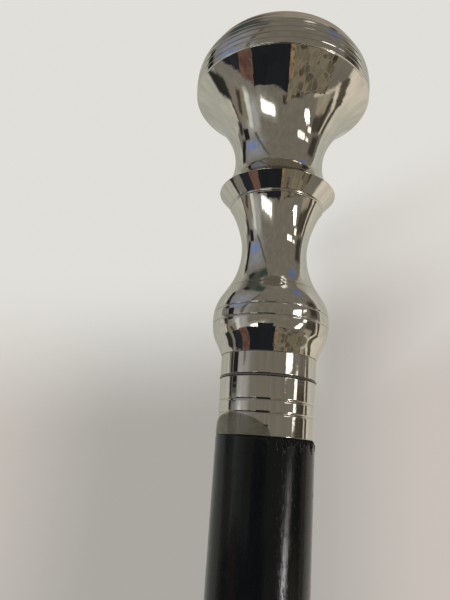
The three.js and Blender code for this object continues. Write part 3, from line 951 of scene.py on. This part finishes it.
# azimuths from the camera's side, towards +X, in degrees; distance, top and foot against the shoulder, and the
# pattern's cell, in millimetres
cards = [
    {"name": "nearCard", "from": -24, "to": 5, "away": 104, "top": 5, "foot": -120,
     "colour": (0.017, 0.019, 0.023), "mottle": 0.1, "cell": 30},
    {"name": "darkCard", "from": -48, "to": 10, "away": 172, "top": -43, "foot": -300,
     "colour": (0.016, 0.018, 0.021), "mottle": 0.15, "cell": 40},
    {"name": "brownCard", "from": -65, "to": -48, "away": 168, "top": -33, "foot": -300,
     "colour": (0.150, 0.083, 0.066), "mottle": 0.3, "cell": 24},
    {"name": "slateCard", "from": -84, "to": -65, "away": 172, "top": -44, "foot": -300,
     "colour": (0.024, 0.027, 0.034), "mottle": 0.2, "cell": 30},
    {"name": "woodCard", "from": 9, "to": 17, "away": 390, "top": -250, "foot": -700,
     "colour": (0.22, 0.15, 0.09), "mottle": 0.7, "cell": 34},
    {"name": "clutterCard", "from": 7, "to": 76, "away": 400, "top": -136, "foot": -700,
     "colour": (0.145, 0.125, 0.092), "mottle": 0.75, "cell": 62},
]
cardPattern = dict(patches=0.7, clouds=0.5, cloudScale=2.5, tones=(0.3, 0.85), seam=(0.06, 0.02))


def glossOnly(thing):
    thing.visible_camera = thing.visible_diffuse = thing.visible_transmission = False
    thing.visible_volume_scatter = thing.visible_shadow = False


def cardMaterial(card):
    p = cardPattern
    material, g = emptyMaterial(card["name"])
    glow = g.add("ShaderNodeEmission")
    g.set(g.add("ShaderNodeOutputMaterial").inputs["Surface"], glow.outputs[0])
    place = g.add("ShaderNodeTexCoord").outputs["Object"]
    light = tuple(c * (1 + card["mottle"]) for c in card["colour"]) + (1,)
    dark = tuple(c * (1 - card["mottle"]) for c in card["colour"]) + (1,)
    density = 1 / (card["cell"] * mm)
    patches = g.add("ShaderNodeTexVoronoi", feature="F1")
    seams = g.add("ShaderNodeTexVoronoi", feature="DISTANCE_TO_EDGE")
    for cells in (patches, seams):
        g.set(cells.inputs["Vector"], place)
        g.set(cells.inputs["Scale"], density)
    clouds = g.times(g.noise(place, p["cloudScale"] * density, 3.0), p["clouds"])
    tone = g.plus(g.times(patches.outputs["Color"], p["patches"]), clouds)
    seam = g.times(g.remap(seams.outputs[0], *p["seam"]), card["mottle"])
    g.set(glow.inputs["Color"], g.mix(g.plus(g.linear(tone, *p["tones"]), seam, clamp=True), dark, light))
    return material


def makeCards():
    for card in cards:
        deselectAll()
        middle = math.radians((card["from"] + card["to"]) / 2)
        wide = 2 * card["away"] * math.tan(math.radians(card["to"] - card["from"]) / 2)
        tall = card["top"] - card["foot"]
        bpy.ops.mesh.primitive_plane_add(size=mm)
        plane = bpy.context.object
        plane.name = card["name"]
        plane.scale = (wide, tall, 1)
        plane.rotation_euler = (math.pi / 2, 0, middle)
        centre = shoulder + card["foot"] + tall / 2
        plane.location = (card["away"] * mm * math.sin(middle), -card["away"] * mm * math.cos(middle), centre * mm)
        applyTransform()
        plane.data.materials.append(cardMaterial(card))
        glossOnly(plane)


def makeFloor():
    s = floorSizes
    deselectAll()
    bpy.ops.mesh.primitive_circle_add(
        vertices=s["sides"], radius=s["radius"], fill_type="NGON", location=(0, 0, -s["drop"]))
    floor = bpy.context.object
    floor.name = "studioFloor"
    applyTransform()
    material, g, shader, place = startMaterial("paleFloor")
    g.set(shader.inputs["Base Color"], g.mix(g.noise(place, s["patchScale"], 4.0), s["shade"], s["tone"]))
    g.set(shader.inputs["Roughness"], s["roughness"])
    g.set(shader.inputs["Specular IOR Level"], s["gloss"])
    floor.data.materials.append(material)
    floor.visible_glossy = False


def makeLamp():
    bpy.ops.object.light_add(type="AREA", location=lampSizes["place"])
    lamp = bpy.context.object
    lamp.name = "softLamp"
    lamp.data.shape = "DISK"
    lamp.data.size = lampSizes["size"]
    lamp.data.energy = lampSizes["power"]
    lamp.rotation_euler = (Vector(lampSizes["aim"]) - lamp.location).to_track_quat("-Z", "Y").to_euler()
    lamp.visible_glossy = False


# soft-edged panel of the tent, by azimuth and elevation in degrees
def makeTentPanel():
    names = ("Azimuth", "Elevation", "Centre", "Height", "Half Width", "Half Height", "Slant", "Tilt", "Edge")
    group, g, given, out = makeGroup("tentPanel", [(name, 1.0) for name in names], ["Mask"])
    over = g.minus(given["Azimuth"], given["Centre"])
    up = g.minus(given["Elevation"], given["Height"])
    side = g.minus(over, g.times(up, given["Slant"]))
    rise = g.minus(up, g.times(over, given["Tilt"]))
    masks = []
    for distance, half in ((side, given["Half Width"]), (rise, given["Half Height"])):
        far = g.plus(half, given["Edge"])
        near = g.minus(half, given["Edge"])
        masks.append(g.remap(g.calc("ABSOLUTE", distance), near, far, 1.0, 0.0))
    g.set(out["Mask"], g.times(*masks))
    return group


# centre (azimuth, elevation), half size, edge, colour, and slant and tilt where they aren't 0: broad panels first
tentPanels = [
    ((-68, 33), (29, 17), 9, (0.29, 0.30, 0.34)),
    ((-74, 28), (14, 4.5), 4, (0.20, 0.29, 0.60)),
    ((-62, -6), (15, 18), 7, (0.42, 0.43, 0.42)),
    ((-67, -12), (4.5, 16), 2.5, (0.74, 0.77, 0.73)),
    ((-81, -15), (10, 12), 3, (0.26, 0.23, 0.18)),
    ((-82, -17), (3, 9), 1.5, (0.07, 0.065, 0.055), -0.3),
    ((-105, 32), (6, 14), 2.5, (0.018, 0.018, 0.02), -0.7),
    ((-84, 12), (7, 6.5), 1.2, (0.018, 0.018, 0.02)),
    ((-96, 6), (4, 6), 2.0, (0.04, 0.04, 0.042), -0.3),
    ((-98.5, -8), (2.0, 8), 1.0, (0.66, 0.61, 0.52), 0.1),
    ((-94.5, -6), (1.5, 8), 1.0, (0.09, 0.085, 0.075), 0.1),
    ((-101, -22), (7.5, 6.5), 2.0, (0.03, 0.032, 0.03)),
    ((-45, 32), (3, 22), 2.5, (0.12, 0.108, 0.092), 0.7),
    ((-75, 68), (45, 7), 4, (0.05, 0.075, 0.06)),
    ((-112, 67), (40, 8), 4, (0.085, 0.085, 0.075)),
    ((-120, 65), (16, 3), 2, (0.04, 0.10, 0.085), 0.0, 0.1),
    ((-95, 59), (12, 3), 2, (0.03, 0.03, 0.028), 0.0, 0.1),
    ((117, 64), (9, 2.4), 1.2, (0.06, 0.05, 0.04)),
    ((83, 57), (13, 6), 3, (0.15, 0.19, 0.36)),
    ((91, 25), (10, 13), 4, (0.055, 0.05, 0.042)),
    ((83, -1), (12, 9), 3, (0.075, 0.066, 0.05)),
    ((79, -17), (9, 8), 3, (0.36, 0.315, 0.25), 0.3),
    ((75, -25), (16, 1.2), 1.2, (0.62, 0.56, 0.45), 0.0, 0.05),
    ((92, -6), (3, 12), 1.5, (0.06, 0.052, 0.04)),
    ((105, 0), (3.0, 10), 1.2, (0.10, 0.085, 0.065), -0.1),
    ((103, -18), (3.6, 9), 1.2, (0.10, 0.085, 0.065), 0.6),
    ((99.5, 0), (2.0, 10), 1.0, (0.70, 0.64, 0.52), -0.2),
    ((96, -18), (2.2, 9), 1.0, (0.78, 0.70, 0.57), 0.6),
    ((6, -26), (4, 4), 1.5, (0.07, 0.045, 0.042)),
    ((33, -31), (6, 4), 2.0, (0.04, 0.045, 0.04)),
    ((67, 74), (15, 2.5), 1.5, (1.0, 1.0, 0.96)),
    ((-27, -17), (18, 9), 6, (0.42, 0.42, 0.38), 0.0, 0.2),
    ((-26.5, -17.5), (13.5, 5.4), 2.4, (2.9, 2.9, 2.75), 0.0, 0.22),
    ((51, 13), (8, 4), 1.6, (2.9, 2.85, 2.6), 0.3, 0.15),
    ((68.5, 18), (3.6, 2.2), 1.0, (1.9, 1.85, 1.7), 0.3, 0.2),
    ((68.5, 5.5), (3.6, 2.8), 1.0, (1.9, 1.85, 1.7), 0.4, 0.2),
    ((56.5, -7.5), (3.0, 5.8), 1.6, (7.0, 6.6, 6.6), 0.8),
    ((54.5, -11.5), (2.8, 3.0), 1.5, (26.0, 24.0, 24.4), 0.8),
]
tentTones = dict(
    centre=(0.205, 0.190, 0.160, 1), leftCentre=(0.235, 0.225, 0.20, 1), leftWall=(0.52, 0.53, 0.475, 1),
    rightLow=(0.76, 0.70, 0.60, 1), rightHigh=(0.58, 0.595, 0.54, 1), leftTop=(0.21, 0.195, 0.18, 1),
    rightTop=(0.40, 0.365, 0.31, 1), backTop=(0.37, 0.325, 0.265, 1), plain=(0.93, 0.92, 0.90, 1),
    seenHigh=(0.750, 0.735, 0.695, 1), seenShade=(0.40, 0.385, 0.355, 1), seenSides=(0.575, 0.525, 0.485, 1),
)
# where the tent's tones change, as ranges of azimuth or elevation in degrees; a wall's edge also has its azimuths
tentRanges = dict(
    leftCentre=(-20, -60), rightWall=(-20, 22), high=(42, 58), leftBack=(-125, -180), rightBack=(125, 180),
    leftEdge=(5, 14, -101, -112), rightEdge=(-30, -8, 99, 109), edgeSoft=1.5,
    cloudScale=7.0, clouds=(0.3, 0.7, 0.86, 1.14),
)
# what the camera sees behind the stick: x of the view's direction, elevation in degrees, and the shades' strengths
wallShades = dict(
    middle=0.11, sides=(0.13, 0.40), slopeFrom=0.09, slope=10.0, low=(20, 3), lowEnd=(-20, -14),
    besideIn=(0.0, 0.12), besideOut=(0.48, 0.14), risingFrom=0.18, rising=24.0,
    first=(31, 24, 0.0, 0.42), second=(23, 14, 0.0, 0.58), ahead=(0.3, 0.7),
)


def makeTent():
    t = tentTones
    r = tentRanges
    w = wallShades
    world = bpy.data.worlds.new("paleTent")
    bpy.context.scene.world = world
    world.use_nodes = True
    world.node_tree.nodes.clear()
    g = Graph(world.node_tree)
    direction = g.add("ShaderNodeTexCoord").outputs["Generated"]
    parts = g.add("ShaderNodeSeparateXYZ")
    g.set(parts.inputs[0], direction)
    x, y, z = parts.outputs
    azimuth = g.calc("DEGREES", g.calc("ARCTAN2", x, g.times(y, -1.0)))
    elevation = g.calc("DEGREES", g.calc("ARCSINE", z))
    room = g.mix(g.remap(azimuth, *r["leftCentre"]), t["centre"], t["leftCentre"])
    rightWall = g.mix(g.remap(elevation, *r["rightWall"]), t["rightLow"], t["rightHigh"])
    high = g.remap(elevation, *r["high"])
    leftTop = g.mix(g.remap(azimuth, *r["leftBack"]), t["leftTop"], t["backTop"])
    rightTop = g.mix(g.remap(azimuth, *r["rightBack"]), t["rightTop"], t["backTop"])
    leftEdge = g.minus(azimuth, g.remap(elevation, *r["leftEdge"]))
    rightEdge = g.minus(azimuth, g.remap(elevation, *r["rightEdge"]))
    leftMask = g.remap(leftEdge, r["edgeSoft"], -r["edgeSoft"])
    rightMask = g.remap(rightEdge, -r["edgeSoft"], r["edgeSoft"])
    colour = g.mix(leftMask, room, g.mix(high, t["leftWall"], leftTop))
    colour = g.mix(rightMask, colour, g.mix(high, rightWall, rightTop))
    panel = makeTentPanel()
    for (centre, height), (halfWidth, halfHeight), edge, shade, *lean in tentPanels:
        slant, tilt = (*lean, 0.0, 0.0)[:2]
        mask = useGroup(
            g, panel, Azimuth=azimuth, Elevation=elevation, Centre=float(centre), Height=float(height),
            Half_Width=float(halfWidth), Half_Height=float(halfHeight), Slant=slant, Tilt=tilt, Edge=float(edge))["Mask"]
        colour = g.mix(mask, colour, shade + (1,))
    cloud = g.linear(g.noise(direction, r["cloudScale"], 4.0, 0.6), *r["clouds"])
    mirrored = g.add("ShaderNodeBackground")
    g.set(mirrored.inputs["Color"], g.mix(1.0, colour, cloud, "MULTIPLY"))
    plain = g.add("ShaderNodeBackground")
    g.set(plain.inputs["Color"], t["plain"])
    # what the camera sees behind the stick, towards +Y: a pale wall, softly shaded low down and on the right
    middle = g.remap(g.calc("ABSOLUTE", g.plus(x, w["middle"])), *w["sides"])
    shade = g.mix(middle, t["seenShade"], t["seenSides"])
    slope = g.minus(elevation, g.times(g.plus(x, w["slopeFrom"]), w["slope"]))
    low = g.times(g.remap(slope, *w["low"]), g.remap(elevation, *w["lowEnd"]))
    beside = g.times(g.remap(x, *w["besideIn"]), g.remap(x, *w["besideOut"]))
    rising = g.minus(elevation, g.times(g.minus(x, w["risingFrom"]), w["rising"]))
    depth = g.plus(g.remap(rising, *w["first"]), g.remap(rising, *w["second"]))
    faint = g.times(beside, depth)
    shaded = g.times(g.calc("MAXIMUM", low, faint), g.remap(y, *w["ahead"]))
    seen = g.add("ShaderNodeBackground")
    g.set(seen.inputs["Color"], g.mix(shaded, t["seenHigh"], shade))
    rays = g.add("ShaderNodeLightPath")
    picture = plain.outputs[0]
    for ray, shown in (("Is Glossy Ray", mirrored), ("Is Camera Ray", seen)):
        choose = g.add("ShaderNodeMixShader")
        g.set(choose.inputs[0], rays.outputs[ray])
        g.set(choose.inputs[1], picture)
        g.set(choose.inputs[2], shown.outputs[0])
        picture = choose.outputs[0]
    g.set(g.add("ShaderNodeOutputWorld").inputs["Surface"], picture)


makeCards()
makeFloor()
makeLamp()
makeTent()
bpy.context.scene.view_settings.view_transform = "Standard"
print("studio ready")
